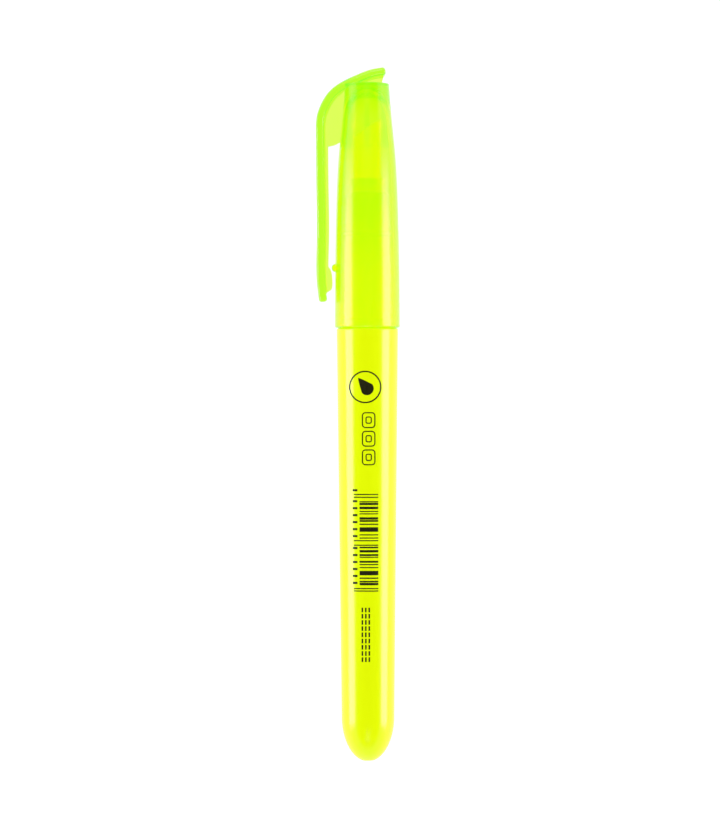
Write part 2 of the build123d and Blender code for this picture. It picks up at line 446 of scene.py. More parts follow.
# glow and glowColor: a painted glow on each surface of the cap, standing in for fluorescence and lifting it
# in shade
capFinish = {
    "mouthTint": (0.87, 1, 1, 1), "topTint": (0.735, 1, 1, 1), "tintFrom": 92.0, "tintTo": 112.0,
    "absorbColor": (0.955, 0.996, 0.0, 1), "absorbPerMetre": 2200.0,
    "glowColor": (0.5, 1.0, 0.0, 1), "glow": 0.15,
    "glossLow": 0.16, "glossHigh": 0.24, "grainScale": 2000.0, "flowScale": 80.0,
    "bumpDistance": 0.00002, "bumpStrength": 0.3, "ior": 1.49,
}

# the clip's glowColor: a painted glow, as on the cap
clipFinish = capFinish | {
    "mouthTint": (0.70, 1, 1, 1), "topTint": (0.70, 1, 1, 1), "absorbColor": (0.936, 0.996, 0.0, 1),
    "glowColor": (0.5, 1.0, 0.15, 1),
}


def makeClearPlastic(name, values):
    # tinted clear plastic: a surface tint that goes smoothly from the mouth's to the top's along the pen,
    # and a body that soaks up more colour the thicker it is
    material, tree, shader, place = startFinish(name)
    addGrain(tree, shader, place, values)
    where = addNode(tree, "ShaderNodeSeparateXYZ")
    share = addNode(tree, "ShaderNodeMapRange", {"interpolation_type": "SMOOTHSTEP"}, **{
        "From Min": float(along(values["tintFrom"])), "From Max": float(along(values["tintTo"]))})
    blend = addNode(tree, "ShaderNodeMix", {"data_type": "RGBA"},
                    A=values["mouthTint"], B=values["topTint"])
    tree.links.new(place, where.inputs["Vector"])
    tree.links.new(where.outputs["X"], share.inputs["Value"])
    tree.links.new(share.outputs["Result"], blend.inputs["Factor"])
    tree.links.new(blend.outputs["Result"], shader.inputs["Base Color"])
    setSockets(shader, {"IOR": values["ior"], "Transmission Weight": 1.0})
    setGlow(shader, values)
    soak = addNode(tree, "ShaderNodeVolumeAbsorption",
                   Color=values["absorbColor"], Density=values["absorbPerMetre"])
    output = next(node for node in tree.nodes if node.type == "OUTPUT_MATERIAL")
    tree.links.new(soak.outputs["Volume"], output.inputs["Volume"])
    return material


# glow and glowColor: a painted glow that brightens the nib inside the cap, standing in for fluorescent ink
nibFinish = {
    "wet": (0.82, 0.84, 0.0, 1), "dry": (0.95, 0.95, 0.01, 1), "fibreScale": 2600.0, "poreScale": 4200.0,
    "glowColor": (1.0, 0.85, 0.0, 1), "glow": 0.5,
    "roughness": 0.62, "bumpDistance": 0.00006, "bumpStrength": 0.8,
}

# glow and glowColor: a painted glow on the inked fibre, standing in for fluorescent ink
reservoirFinish = {
    "wet": (0.70, 0.78, 0.01, 1), "dry": (0.92, 0.95, 0.12, 1), "fibreScale": 1500.0, "poreScale": 6000.0,
    "glowColor": (0.5, 0.55, 0.0, 1), "glow": 0.1,
    "roughness": 0.75, "bumpDistance": 0.00008, "bumpStrength": 0.8,
}


def makeFelt(name, values):
    # inked fibre, wet where the fibre mask is low and dry where it is high
    material, tree, shader, place = startFinish(name)
    fibre = useGroup(tree, fibreBundle, place, **{
        "Fibre Scale": values["fibreScale"], "Pore Scale": values["poreScale"]})
    blend = addNode(tree, "ShaderNodeMix", {"data_type": "RGBA"}, A=values["wet"], B=values["dry"])
    tree.links.new(fibre.outputs["Mask"], blend.inputs["Factor"])
    tree.links.new(blend.outputs["Result"], shader.inputs["Base Color"])
    addBump(tree, shader, fibre.outputs["Height"], values)
    setSockets(shader, {"Roughness": values["roughness"]})
    setGlow(shader, values)
    return material


filmFinish = {
    "weak": (0.93, 0.95, 0.72, 1), "strong": (0.88, 0.92, 0.5, 1), "driftScale": 120.0,
    "glossLow": 0.3, "glossHigh": 0.42, "grainScale": 1600.0, "flowScale": 150.0,
    "bumpDistance": 0.00002, "bumpStrength": 0.4, "alpha": 0.55,
}


def makeFilm(values):
    # thin frosted film, partly see-through
    material, tree, shader, place = startFinish("frostedFilm")
    addGrain(tree, shader, place, values)
    addDye(tree, shader, place, values)
    setSockets(shader, {"Alpha": values["alpha"]})
    return material


inkFinish = {
    "weak": (0.004, 0.004, 0.004, 1), "strong": (0.03, 0.032, 0.006, 1), "driftScale": 2500.0,
    "glossLow": 0.32, "glossHigh": 0.5, "specular": 0.2,
}


def makePrintInk(values):
    # black pad-printing ink, a little thinner in small spots, with the grain group's own scales and no bump
    material, tree, shader, place = startFinish("blackPrintInk")
    addDye(tree, shader, place, values)
    grain = useGroup(tree, mouldedGrain, place, **{
        "Gloss Low": values["glossLow"], "Gloss High": values["glossHigh"]})
    tree.links.new(grain.outputs["Roughness"], shader.inputs["Roughness"])
    setSockets(shader, {"Specular IOR Level": values["specular"]})
    return material


barrelPlastic = makeSolidPlastic("yellowBarrelPlastic", barrelFinish)
holderPlastic = makeSolidPlastic("satinHolderPlastic", holderFinish)
capPlastic = makeClearPlastic("clearCapPlastic", capFinish)
clipPlastic = makeClearPlastic("clearClipPlastic", clipFinish)
nibFelt = makeFelt("inkedNibFelt", nibFinish)
reservoirFibre = makeFelt("inkedReservoirFibre", reservoirFinish)
film, printInk = makeFilm(filmFinish), makePrintInk(inkFinish)
print("finishes: barrel, nib holder, cap, clip, nib, reservoir, film, print ink")


def settle(piece, material, body, slot, *nodes):
    # gives a finished piece its finish, its body and the CAD nodes that it stands for
    piece.data.materials.clear()
    piece.data.materials.append(material)
    if body:
        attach(piece, body)
    if nodes:
        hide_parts(*nodes)
    return piece


# barrel

barrel = {
    "front": 85.5, "frontRadius": 6.08, "shoulderRound": 0.45, "mouthRound": 0.15,
    "domeStart": 8.6, "domeRadius": 5.22, "domeStretch": 8.85, "domeSteps": 40,
    "wall": 1.0, "socketRadius": 4.95, "socketDepth": 9.0, "taperSteps": 60, "boreSteps": 30,
}


def barrelRadius(station):
    # outer radius on the straight taper: a straight line from the dome's foot to the front shoulder
    share = (np.asarray(station) - barrel["domeStart"]) / (barrel["front"] - barrel["domeStart"])
    return barrel["domeRadius"] + share * (barrel["frontRadius"] - barrel["domeRadius"])


def domeProfile(inset):
    # half-ellipse from the flat at the tail end to the dome's foot
    stretch, radius = barrel["domeStretch"] - inset, barrel["domeRadius"] - inset
    flatDeg = math.degrees(math.acos((barrel["domeStart"] - inset) / stretch))
    bow = arc((barrel["domeStart"], 0), (-stretch, radius), flatDeg, 90, barrel["domeSteps"])
    return joined(line((inset, 0), (inset, bow[0, 1]), 4), bow)


def makeBarrel():
    # one closed profile turned about the axis: out over the dome, along the taper, round the mouth,
    # down the socket and back along the bore one wall thickness in
    b = barrel
    front, edge = b["front"], b["shoulderRound"]
    outer = domeProfile(0)
    taper = np.linspace(b["domeStart"], front - edge, b["taperSteps"])
    side = np.column_stack([taper, barrelRadius(taper)])
    shoulder = arc((front - edge, barrelRadius(front) - edge), (edge, edge), 90, 0, 10)
    m = b["mouthRound"]
    lip = arc((front - m, b["socketRadius"] + m), (m, m), 0, -90, 5)
    socketFloor = front - b["socketDepth"]
    socket = joined(
        line((front - m, b["socketRadius"]), (socketFloor, b["socketRadius"]), 6),
        [(socketFloor, barrelRadius(socketFloor) - b["wall"])],
    )
    inner = domeProfile(b["wall"])[::-1]
    bore = line((socketFloor, barrelRadius(socketFloor) - b["wall"]), inner[0], b["boreSteps"])
    return turned("barrel_moulding", joined(outer, side, shoulder, lip, socket, bore, inner))


settle(makeBarrel(), barrelPlastic, "pen", "barrel", "barrel")
print("barrel: closed tapered tube with a domed tail")


# printed marks on the barrel

marks = {
    "lift": 0.018, "sink": 0.03, "step": 0.25, "outlineStep": 0.12,
    "ringCentre": (73.8, -0.46), "ringRadius": 3.05, "ringLine": 0.27, "ringSteps": 96,
    "dropCentre": (73.5, -0.1), "dropRadius": 1.3, "dropReach": 2.7, "dropTiltDeg": 40.0, "dropAcross": 15,
    "dropSteps": 40, "dropEnds": (0.004, 0.996), "dropPower": 0.85, "dropTip": 0.02,
    "tileStations": (67.3, 63.65, 60.0), "tileSize": (2.9, 2.45), "tileY": 0.2, "tileLine": 0.22,
    "tileRound": 0.6, "tileInner": 0.42, "tileInnerRound": 0.5,
    "barStart": 52.72, "barEnd": 33.7, "barCount": 30, "barY": (-1.62, 2.05), "guardY": -2.75,
    "guards": (0, 1, 14, 15, 28, 29), "barThin": 0.21, "barThick": 0.47,
    "barShift": 0.13, "shiftTurn": 2.4, "widthTurn": 1.9, "widthStart": 0.6,
    "secondShare": 0.7, "secondTurn": 0.83, "thinBelow": -0.5, "thickAbove": 0.8,
    "tickGroups": ((53.75, 1), (51.6, 6), (42.4, 6)), "tickGap": 1.37, "tickY": (-2.95, -2.05),
    "tickWidth": 0.42, "dashStart": 30.5, "dashGap": 1.22, "dashCount": 9, "dashLength": 0.9,
    "dashRows": (-1.1, -0.42, 0.26), "dashWidth": 0.3, "sharpDeg": 30,
}


def liftedPoint(station, y, lift):
    # a point over the barrel's side: its height is the root of (radius plus lift) squared less y squared
    reach = barrelRadius(station) + lift
    return np.stack([along(station), y * mm, axisZ + np.sqrt(reach**2 - y**2) * mm], axis=-1)


def inkStrip(leftEdge, rightEdge, closed=False, across=3):
    # a thin closed layer of ink between two edges of (station, y): its top is lifted over the barrel and
    # its underside is sunk into it
    left, right = np.asarray(leftEdge, float), np.asarray(rightEdge, float)
    shares = np.linspace(0, 1, across)
    section = []
    for lift, order in ((marks["lift"], shares), (-marks["sink"], shares[::-1])):
        for share in order:
            flat = left * (1 - share) + right * share
            section.append(liftedPoint(flat[:, 0], flat[:, 1], lift))
    grid = np.stack(section, axis=1)
    rows, columns = grid.shape[:2]
    quads = gridQuads(rows, columns, closed)
    faces = quads.tolist()
    if not closed:
        faces.append(list(range(columns))[::-1])
        faces.append([(rows - 1) * columns + number for number in range(columns)])
    upwards = grid[0, 0] - grid[0, -1]
    corner = grid.reshape(-1, 3)[quads[0]]
    facing = np.cross(corner[2] - corner[0], corner[3] - corner[1])
    if facing @ upwards < 0:
        faces = [face[::-1] for face in faces]
    return grid.reshape(-1, 3), faces


def bar(stationRange, yRange):
    # a straight printed bar across the pen
    steps = max(2, int(abs(yRange[1] - yRange[0]) / marks["step"]) + 1)
    y = np.linspace(*yRange, steps)
    return inkStrip(np.column_stack([np.full(steps, stationRange[0]), y]),
                    np.column_stack([np.full(steps, stationRange[1]), y]))


def outline(points, width):
    # a closed printed line of even width: the loop, in steps short enough to follow the barrel,
    # moved half the width out and half in along its normals
    points = np.vstack([points, points[:1]])
    walked = distances(points)
    where = np.linspace(0, walked[-1], int(walked[-1] / marks["outlineStep"]), endpoint=False)
    points = readAlong(where, walked, points)
    tangent = np.roll(points, -1, axis=0) - np.roll(points, 1, axis=0)
    tangent /= np.linalg.norm(tangent, axis=1, keepdims=True)
    normal = np.column_stack([tangent[:, 1], -tangent[:, 0]]) * width / 2
    return inkStrip(points + normal, points - normal, closed=True)


def roundedTile(centre, size, corner, steps=7):
    # a rectangle with quarter-circle corners
    halfS, halfY = size[0] / 2 - corner, size[1] / 2 - corner
    corners = ((halfS, halfY, 0), (-halfS, halfY, 90), (-halfS, -halfY, 180), (halfS, -halfY, 270))
    return np.vstack([arc((centre[0] + s, centre[1] + y), (corner, corner), start, start + 90, steps)
                      for s, y, start in corners])


def inkDrop():
    # a filled drop, tilted: a half-circle behind its centre, and ahead of it a half-width that falls to a
    # point as (one less the share of the reach) to a power
    k = marks
    share = np.linspace(*k["dropEnds"], k["dropSteps"])
    lengthwise = -k["dropRadius"] + share * (k["dropReach"] + k["dropRadius"])
    roundPart = np.sqrt(np.clip(k["dropRadius"] ** 2 - lengthwise**2, 0, None))
    left = np.clip(1 - np.clip(lengthwise, 0, None) / k["dropReach"], 0, 1)
    taper = k["dropRadius"] * left ** k["dropPower"]
    half = np.where(lengthwise < 0, roundPart, taper) + k["dropTip"]
    tilt = math.radians(k["dropTiltDeg"])
    edges = []
    for side in (1, -1):
        across = half * side
        edges.append(np.column_stack([
            k["dropCentre"][0] + lengthwise * math.cos(tilt) - across * math.sin(tilt),
            k["dropCentre"][1] - lengthwise * math.sin(tilt) - across * math.cos(tilt),
        ]))
    return inkStrip(*edges, across=k["dropAcross"])


def barEdges():
    # bars of unequal width: thick where the sum of two sines of the bar's number is high, thin elsewhere
    k = marks
    number = np.arange(k["barCount"])
    centre = np.linspace(k["barStart"], k["barEnd"], k["barCount"])
    centre = centre + k["barShift"] * np.sin(number * k["shiftTurn"])
    pattern = np.sin(number * k["widthTurn"] + k["widthStart"])
    pattern = pattern + k["secondShare"] * np.sin(number * k["secondTurn"])
    heavy = smoothStep(pattern, k["thinBelow"], k["thickAbove"])
    width = k["barThin"] + (k["barThick"] - k["barThin"]) * heavy
    width[list(k["guards"])] = k["barThin"]
    return [(c + w / 2, c - w / 2, k["guardY"] if n in k["guards"] else k["barY"][0])
            for n, c, w in zip(number, centre, width)]


def makePrint():
    # every mark's layer of ink gathered into one mesh
    k = marks
    turn = fullTurn(k["ringSteps"])
    ringLoop = np.column_stack([k["ringCentre"][0] + k["ringRadius"] * np.cos(turn),
                                k["ringCentre"][1] + k["ringRadius"] * np.sin(turn)])
    pieces = [outline(ringLoop, k["ringLine"]), inkDrop()]
    for station in k["tileStations"]:
        for share, corner in ((1, k["tileRound"]), (k["tileInner"], k["tileRound"] * k["tileInnerRound"])):
            size = [side * share for side in k["tileSize"]]
            pieces.append(outline(roundedTile((station, k["tileY"]), size, corner), k["tileLine"]))
    pieces += [bar((start, end), (low, k["barY"][1])) for start, end, low in barEdges()]
    for first, count in k["tickGroups"]:
        for station in first - k["tickGap"] * np.arange(count):
            pieces.append(bar((station, station - k["tickWidth"]), k["tickY"]))
    halfDash = k["dashWidth"] / 2
    for number in range(k["dashCount"]):
        station = k["dashStart"] - number * k["dashGap"]
        for y in k["dashRows"]:
            pieces.append(bar((station, station - k["dashLength"]), (y - halfDash, y + halfDash)))
    vertices, faces, offset = [], [], 0
    for points, skin in pieces:
        vertices.append(points)
        faces += [[corner + offset for corner in face] for face in skin]
        offset += len(points)
    return addMesh("barrel_print", np.vstack(vertices), faces, k["sharpDeg"])


settle(makePrint(), printInk, "pen", "barrel")
print("print: ring, drop, tiles, bars and dashes")


# nib holder

holder = {
    "socketDepth": 9.0, "plugRadius": 4.95, "collarRadius": 5.25, "collarLength": 1.8,
    "spigotRadius": 4.8, "spigotEnd": 109.9,
    "shoulderEnd": 112.3, "noseRadius": 3.3, "noseEnd": 115.0, "rimRadius": 3.45,
    "rimLength": 1.4, "beadRadius": 5.06, "beadStation": 104.0, "beadHalf": 0.5, "boreRadius": 4.0,
    "socketStart": 108.0, "edgeRound": 0.18, "steps": 160,
}
nib = {
    "width": 5.3, "thickness": 3.4, "rear": 105.0, "highTip": 126.7, "lowTip": 123.4, "bevelLength": 4.2,
    "edgeThickness": 0.5, "stemRadius": 1.5, "stemLength": 9.0, "stemPoint": 2.0, "stemTipShare": 0.2,
    "tipRound": 0.22, "tipRoundDeg": 80, "tipThickness": 0.45, "tipNarrowing": 0.03,
    "bevelBack": (0.3, 6.0, 30), "bodyBack": 6.6, "bodySteps": 16, "leanFull": 5.0, "leanGone": 9.0,
    "steps": 128,
}


def slotOutline(angle, width, thickness):
    # round-ended slot seen from its centre: the distance out along each angle, to the flat side or to the
    # half-circle at the end
    across, up = np.abs(np.sin(angle)), np.abs(np.cos(angle))
    endRadius, centre = thickness / 2, (width - thickness) / 2
    flat = endRadius / np.maximum(up, 1e-9)
    onRound = centre * across + np.sqrt(np.maximum(endRadius**2 - (centre * up) ** 2, 0))
    return np.where(flat * across <= centre, flat, onRound)


def makeNibHolder():
    # rings about the axis; inside the nose the ring's radius becomes the nib's slot outline
    h = holder
    front, r = barrel["front"], h["edgeRound"]
    noseEnd, rimBack = h["noseEnd"], h["noseEnd"] - h["rimLength"]
    rear, collarEnd = front - h["socketDepth"], front + h["collarLength"]
    spigot, nose, beadHalf = h["spigotRadius"], h["noseRadius"], h["beadHalf"]
    bead = arc((h["beadStation"], spigot), (beadHalf, h["beadRadius"] - spigot), 180, 0, 9)
    outside = joined(
        [(rear, h["boreRadius"])], arc((rear + r, h["plugRadius"] - r), (-r, r), 0, 90, 5),
        line((rear + r, h["plugRadius"]), (front, h["plugRadius"]), 6),
        arc((front + r, h["collarRadius"] - r), (-r, r), 0, 90, 5),
        arc((collarEnd - r, h["collarRadius"] - r), (r, r), 90, 0, 5),
        line((collarEnd, spigot), (h["beadStation"] - beadHalf, spigot), 12),
        bead,
        line((h["beadStation"] + beadHalf, spigot), (h["spigotEnd"], spigot), 5),
        arc((h["spigotEnd"], nose), (h["shoulderEnd"] - h["spigotEnd"], spigot - nose), 90, 0, 18),
        line((h["shoulderEnd"], nose), (rimBack, nose), 3),
        arc((rimBack + r / 2, h["rimRadius"] - r / 2), (-r / 2, r / 2), 0, 90, 4),
        arc((noseEnd - r, h["rimRadius"] - r), (r, r), 90, 0, 6),
    )
    bore = joined(line((h["socketStart"], h["boreRadius"]), (rear, h["boreRadius"]), 12))
    angle = fullTurn(h["steps"])
    slot = slotOutline(angle, nib["width"], nib["thickness"])
    rings = [np.full(h["steps"], radius) for radius in outside[:, 1]] + [slot, slot, slot]
    stations = [*outside[:, 0], noseEnd, (noseEnd + h["socketStart"]) / 2, h["socketStart"]]
    rings += [np.full(h["steps"], radius) for radius in bore[:-1, 1]]
    stations += list(bore[:-1, 0])
    grid = ringGrid(np.array(stations), np.array(rings), angle)
    return gridMesh("front_section", grid, ring=True, sharpDeg=35)


settle(makeNibHolder(), holderPlastic, "pen", "nib_holder", "nib_holder")
print("nib holder: plug, collar, spigot, shoulder and nose")


# chisel nib

def makeNib():
    # rings of the slot outline that lean with the slanted edge near the tip, where the thickness also
    # falls evenly to the edge's thickness; behind them a round stem with a point
    n = nib
    angle = fullTurn(n["steps"])
    slot = slotOutline(angle, n["width"], n["thickness"])
    y, z = slot * np.sin(angle), slot * np.cos(angle)
    middle = (n["highTip"] + n["lowTip"]) / 2
    slant = (n["highTip"] - n["lowTip"]) / n["width"]
    tip = n["tipRound"]
    back = np.r_[tip * (1 - np.cos(np.radians(np.linspace(0, n["tipRoundDeg"], 5)))),
                 np.linspace(*n["bevelBack"]),
                 np.linspace(n["bodyBack"], middle - n["rear"], n["bodySteps"])]
    lean = 1 - smoothStep(back, n["leanFull"], n["leanGone"])
    gain = n["thickness"] - n["edgeThickness"]
    half = n["edgeThickness"] / 2 + np.clip(back / n["bevelLength"], 0, 1) * gain / 2
    roundOff = np.where(back < tip, np.sqrt(np.clip(1 - ((tip - back) / tip) ** 2, 0, 1)), 1)
    half = half * (n["tipThickness"] + (1 - n["tipThickness"]) * roundOff)
    narrow = 1 - n["tipNarrowing"] * (1 - roundOff)
    station = middle - back[:, None] + lean[:, None] * slant * y
    depth = np.sign(z) * np.minimum(np.abs(z), half[:, None])
    ringY = y * narrow[:, None]
    stemEnd = n["rear"] - n["stemLength"]
    stemStations = np.array([n["rear"], (n["rear"] + stemEnd) / 2, stemEnd + n["stemPoint"], stemEnd])
    stemRadii = np.array([1, 1, 1, n["stemTipShare"]])[:, None] * n["stemRadius"]
    station = np.vstack([station, np.repeat(stemStations[:, None], n["steps"], axis=1)])
    ringY = np.vstack([ringY, stemRadii * np.sin(angle)])
    depth = np.vstack([depth, stemRadii * np.cos(angle)])
    grid = np.stack([along(station), ringY * mm, axisZ + depth * mm], axis=-1)
    return gridMesh("chisel_nib", grid, sharpDeg=32)


settle(makeNib(), nibFelt, "pen", "nib", "nib")
print("nib: slanted chisel edge with a stem")


# ink reservoir and its film

reservoir = {
    "rear": 9.5, "radius": 3.6, "flutes": 28, "fluteDepth": 0.045, "fluteFrom": 2.5, "fluteFull": 3.3,
    "edgeRound": 0.25, "steps": 336, "filmThickness": 0.12, "filmSetback": 1.0,
}


def makeReservoir():
    # a rod whose radius ripples with the angle, as a bundle of fibres does, with a hole for the nib's stem
    q = reservoir
    front, e = nib["rear"], q["edgeRound"]
    stemEnd = front - nib["stemLength"]
    profile = joined(
        arc((q["rear"] + e, q["radius"] - e), (-e, e), 0, 90, 5),
        line((q["rear"] + e, q["radius"]), (front - e, q["radius"]), 40),
        arc((front - e, q["radius"] - e), (e, e), 90, 0, 5),
        [(front, nib["stemRadius"]), (stemEnd + nib["stemPoint"], nib["stemRadius"]),
         (stemEnd, nib["stemTipShare"] * nib["stemRadius"])],
    )
    angle = fullTurn(q["steps"])
    ripple = -q["fluteDepth"] * (0.5 - 0.5 * np.cos(q["flutes"] * angle))
    outerShare = smoothStep(profile[:, 1:2], q["fluteFrom"], q["fluteFull"])
    grid = ringGrid(profile[:, 0], profile[:, 1:2] + outerShare * ripple, angle)
    tips = [np.array([along(station), 0, axisZ]) for station in (q["rear"], stemEnd)]
    return gridMesh("fibre_reservoir", grid, tips[0], tips[1])


def makeFilmTube():
    # a thin tube round the fibre rod
    q = reservoir
    start, end = q["rear"] + q["filmSetback"], nib["rear"] - q["filmSetback"]
    inner, outer = q["radius"], q["radius"] + q["filmThickness"]
    profile = joined(line((start, outer), (end, outer), 30), line((end, inner), (start, inner), 30))
    return turned("reservoir_sleeve", profile, ring=True)


settle(makeReservoir(), reservoirFibre, "pen", "ink_reservoir", "ink_reservoir")
settle(makeFilmTube(), film, "pen", "reservoir_film", "reservoir_film")
print("ink reservoir and its film")


# cap

cap = {
    "mouth": 85.58, "top": 133.8, "roof": 133.1, "wall": 1.1, "ceilingDepth": 8.5,
    "profile": [(133.8, 4.34), (127.3, 4.86), (120.2, 5.56), (112.9, 5.98), (103.0, 6.25), (94.0, 6.37),
                (85.58, 6.415)],
    "mouthRound": 0.32, "lipRound": 0.2, "topRound": 0.12, "topInset": 0.5, "steps": 192, "sharpDeg": 50,
    "ribThickness": 0.9, "ribInner": 2.95, "ribEnd": 121.2, "ribCount": 4, "ribPast": 0.3, "ribSink": 0.35,
    "ribLead": 0.25, "ribLeadLength": 0.5,
    "nubStation": 97.4, "nubRadius": 0.8, "nubY": -6.22, "nubWidth": 2.4, "nubRound": 0.35,
    "nubRoundDeg": 85, "nubSteps": 40,
}
capLine = smoothCurve(cap["profile"], 400)


def capRadius(station):
    # the cap's outer radius, read from its side line
    return np.interp(station, capLine[::-1, 0], capLine[::-1, 1])


def makeCapShell():
    # flat top, outer side, rounded mouth, inner wall one thickness in, and a half-ellipse for the ceiling
    c = cap
    top, m, t = c["top"], c["mouthRound"], c["topRound"]
    side = np.linspace(top - t, c["mouth"] + m, 90)
    topRadius, mouthRadius = capRadius(top), capRadius(c["mouth"])
    innerMouth, lip = mouthRadius - c["wall"], c["lipRound"]
    ceilingEdge = c["roof"] - c["ceilingDepth"]
    inner = np.linspace(c["mouth"] + lip, ceilingEdge, 70)
    innerTop = capRadius(ceilingEdge) - c["wall"]
    profile = joined(
        [(top, 0), (top, topRadius * c["topInset"])],
        arc((top - t, topRadius - t), (t, t), 0, 90, 5),
        np.column_stack([side, capRadius(side)]),
        arc((c["mouth"] + m, mouthRadius - m), (-m, m), 90, 0, 10),
        arc((c["mouth"] + lip, innerMouth + lip), (-lip, -lip), 0, 90, 6),
        np.column_stack([inner, capRadius(inner) - c["wall"]]),
        arc((ceilingEdge, 0), (c["ceilingDepth"], innerTop), 90, 0, 24),
    )
    return turned("cap_moulding", profile, c["steps"], c["sharpDeg"])


def makeCapRib(number):
    # one stiffening rib: a flat plate from the wall inwards, turned about the axis
    c = cap
    a = 2 * math.pi * number / c["ribCount"]
    half = c["ribThickness"] / 2
    station = np.linspace(c["ribEnd"], c["roof"] + c["ribPast"], 24)
    outer = capRadius(station) - c["wall"] + c["ribSink"]
    lead = 1 - smoothStep(station, c["ribEnd"], c["ribEnd"] + c["ribLeadLength"])
    inner = c["ribInner"] + c["ribLead"] * lead
    section = np.stack([
        np.stack([outer, inner, inner, outer], axis=-1),
        np.array([half, half, -half, -half])[None, :].repeat(len(station), axis=0),
    ], axis=-1) * mm
    radial, across = section[..., 0], section[..., 1]
    x = np.repeat(along(station)[:, None], 4, axis=1)
    y = radial * math.sin(a) + across * math.cos(a)
    z = axisZ + radial * math.cos(a) - across * math.sin(a)
    return gridMesh(f"capRib{number}", np.stack([x, y, z], axis=-1))


def makeNub():
    # the small half-round stop on the cap's side, with rounded ends: a rod across the pen
    c = cap
    angle = fullTurn(c["nubSteps"])
    turn = np.radians(np.linspace(-c["nubRoundDeg"], c["nubRoundDeg"], 9))
    endRound, half = c["nubRound"], c["nubWidth"] / 2
    z = np.r_[-half + endRound * (1 + np.sin(turn[:5])), half - endRound * (1 - np.sin(turn[4:]))]
    radius = c["nubRadius"] - endRound * (1 - np.cos(np.r_[turn[:5], turn[4:]]))
    x = along(c["nubStation"]) + radius[:, None] * mm * np.cos(angle)
    y = c["nubY"] * mm + radius[:, None] * mm * np.sin(angle)
    grid = np.stack([x, y, axisZ + np.repeat(z[:, None], c["nubSteps"], axis=1) * mm], axis=-1)
    return gridMesh("capNub", grid)


capInsides = [makeCapRib(number) for number in range(cap["ribCount"])] + [makeNub()]
capPiece = united(makeCapShell(), capInsides)
settle(capPiece, capPlastic, "cap", "cap", "cap")
print("cap: shell with", cap["ribCount"], "ribs and a nub,", len(capPiece.data.polygons), "faces")


# pocket clip with its ridge, gusset and ball

clip = {
    "outerLine": [
        (90.6, -9.50), (95.0, -9.98), (103.0, -9.94), (114.0, -10.02), (124.0, -10.10),
        (127.2, -9.94), (129.6, -9.14), (131.9, -7.72), (133.1, -6.48), (134.3, -4.58),
        (135.5, -1.99), (136.58, 1.00), (136.98, 3.58),
    ],
    "thickness": 1.6, "widthAtEnd": 3.8, "widthAtRidge": 4.6, "edgeRound": 0.62, "endRound": 0.55,
    "webThickness": 1.15, "webFillet": 0.28, "webEdgeRound": 0.22,
    "armY": -10.02, "ribY": -7.64, "ribEnd": 92.4, "ribFadeBefore": 0.3, "ribFadeAfter": 0.5,
    "ballStation": 95.0, "ballLength": 5.0, "ballY": -6.95, "ballSquareness": 2.4, "ballFullness": 0.6,
    "gussetAtClip": 121.4, "gussetAtCap": 123.2, "gussetEdge": 0.35, "neckY": 2.85, "neckEdge": 0.3,
    "footDepth": 0.45, "footRound": 0.6, "footSteps": 600, "pathEnd": 0.7, "pathStep": 0.22,
    "hingeStart": 121.3, "hingeEnd": 112.0,
}


def clipPath():
    # the strap's outer line as evenly spaced points with the distance along them and the inward normals
    outer = smoothCurve(clip["outerLine"], 3000)
    walked = distances(outer)
    tangent = np.gradient(outer, walked, axis=0)
    tangent /= np.linalg.norm(tangent, axis=1, keepdims=True)
    normal = np.column_stack([-tangent[:, 1], tangent[:, 0]])
    return outer, walked, normal


def footLine(count):
    # where the web meets the cap, sunk a little into it: up the cap's side, round its top corner, and
    # across its top
    sink, r = clip["footDepth"], clip["footRound"]
    top = cap["top"] - sink
    side = np.linspace(clip["gussetAtCap"], top - r, 60)
    upSide = np.column_stack([side, -(capRadius(side) - sink)])
    corner = capRadius(cap["top"]) - sink
    turn = arc((top - r, -corner + r), (r, -r), 90, 0, 8)
    across = line((top, -corner + r), (top, clip["neckY"]), 40)
    whole = joined(upSide, turn, across)
    walked = distances(whole)
    return readAlong(np.linspace(0, walked[-1], count), walked, whole)


def ribHeight(station):
    # height of the rib over the strap's inner face: even and gone at the rib's end, plus a rounded bump for
    # the ball, which is (one less the offset to one power) to another power
    k = clip
    even = k["ribY"] - (k["armY"] + k["thickness"])
    offset = np.clip(np.abs(station - k["ballStation"]) / (k["ballLength"] / 2), 0, 1)
    bump = (k["ballY"] - k["ribY"]) * (1 - offset ** k["ballSquareness"]) ** k["ballFullness"]
    present = smoothStep(station, k["ribEnd"] - k["ribFadeBefore"], k["ribEnd"] + k["ribFadeAfter"])
    return even * present + bump


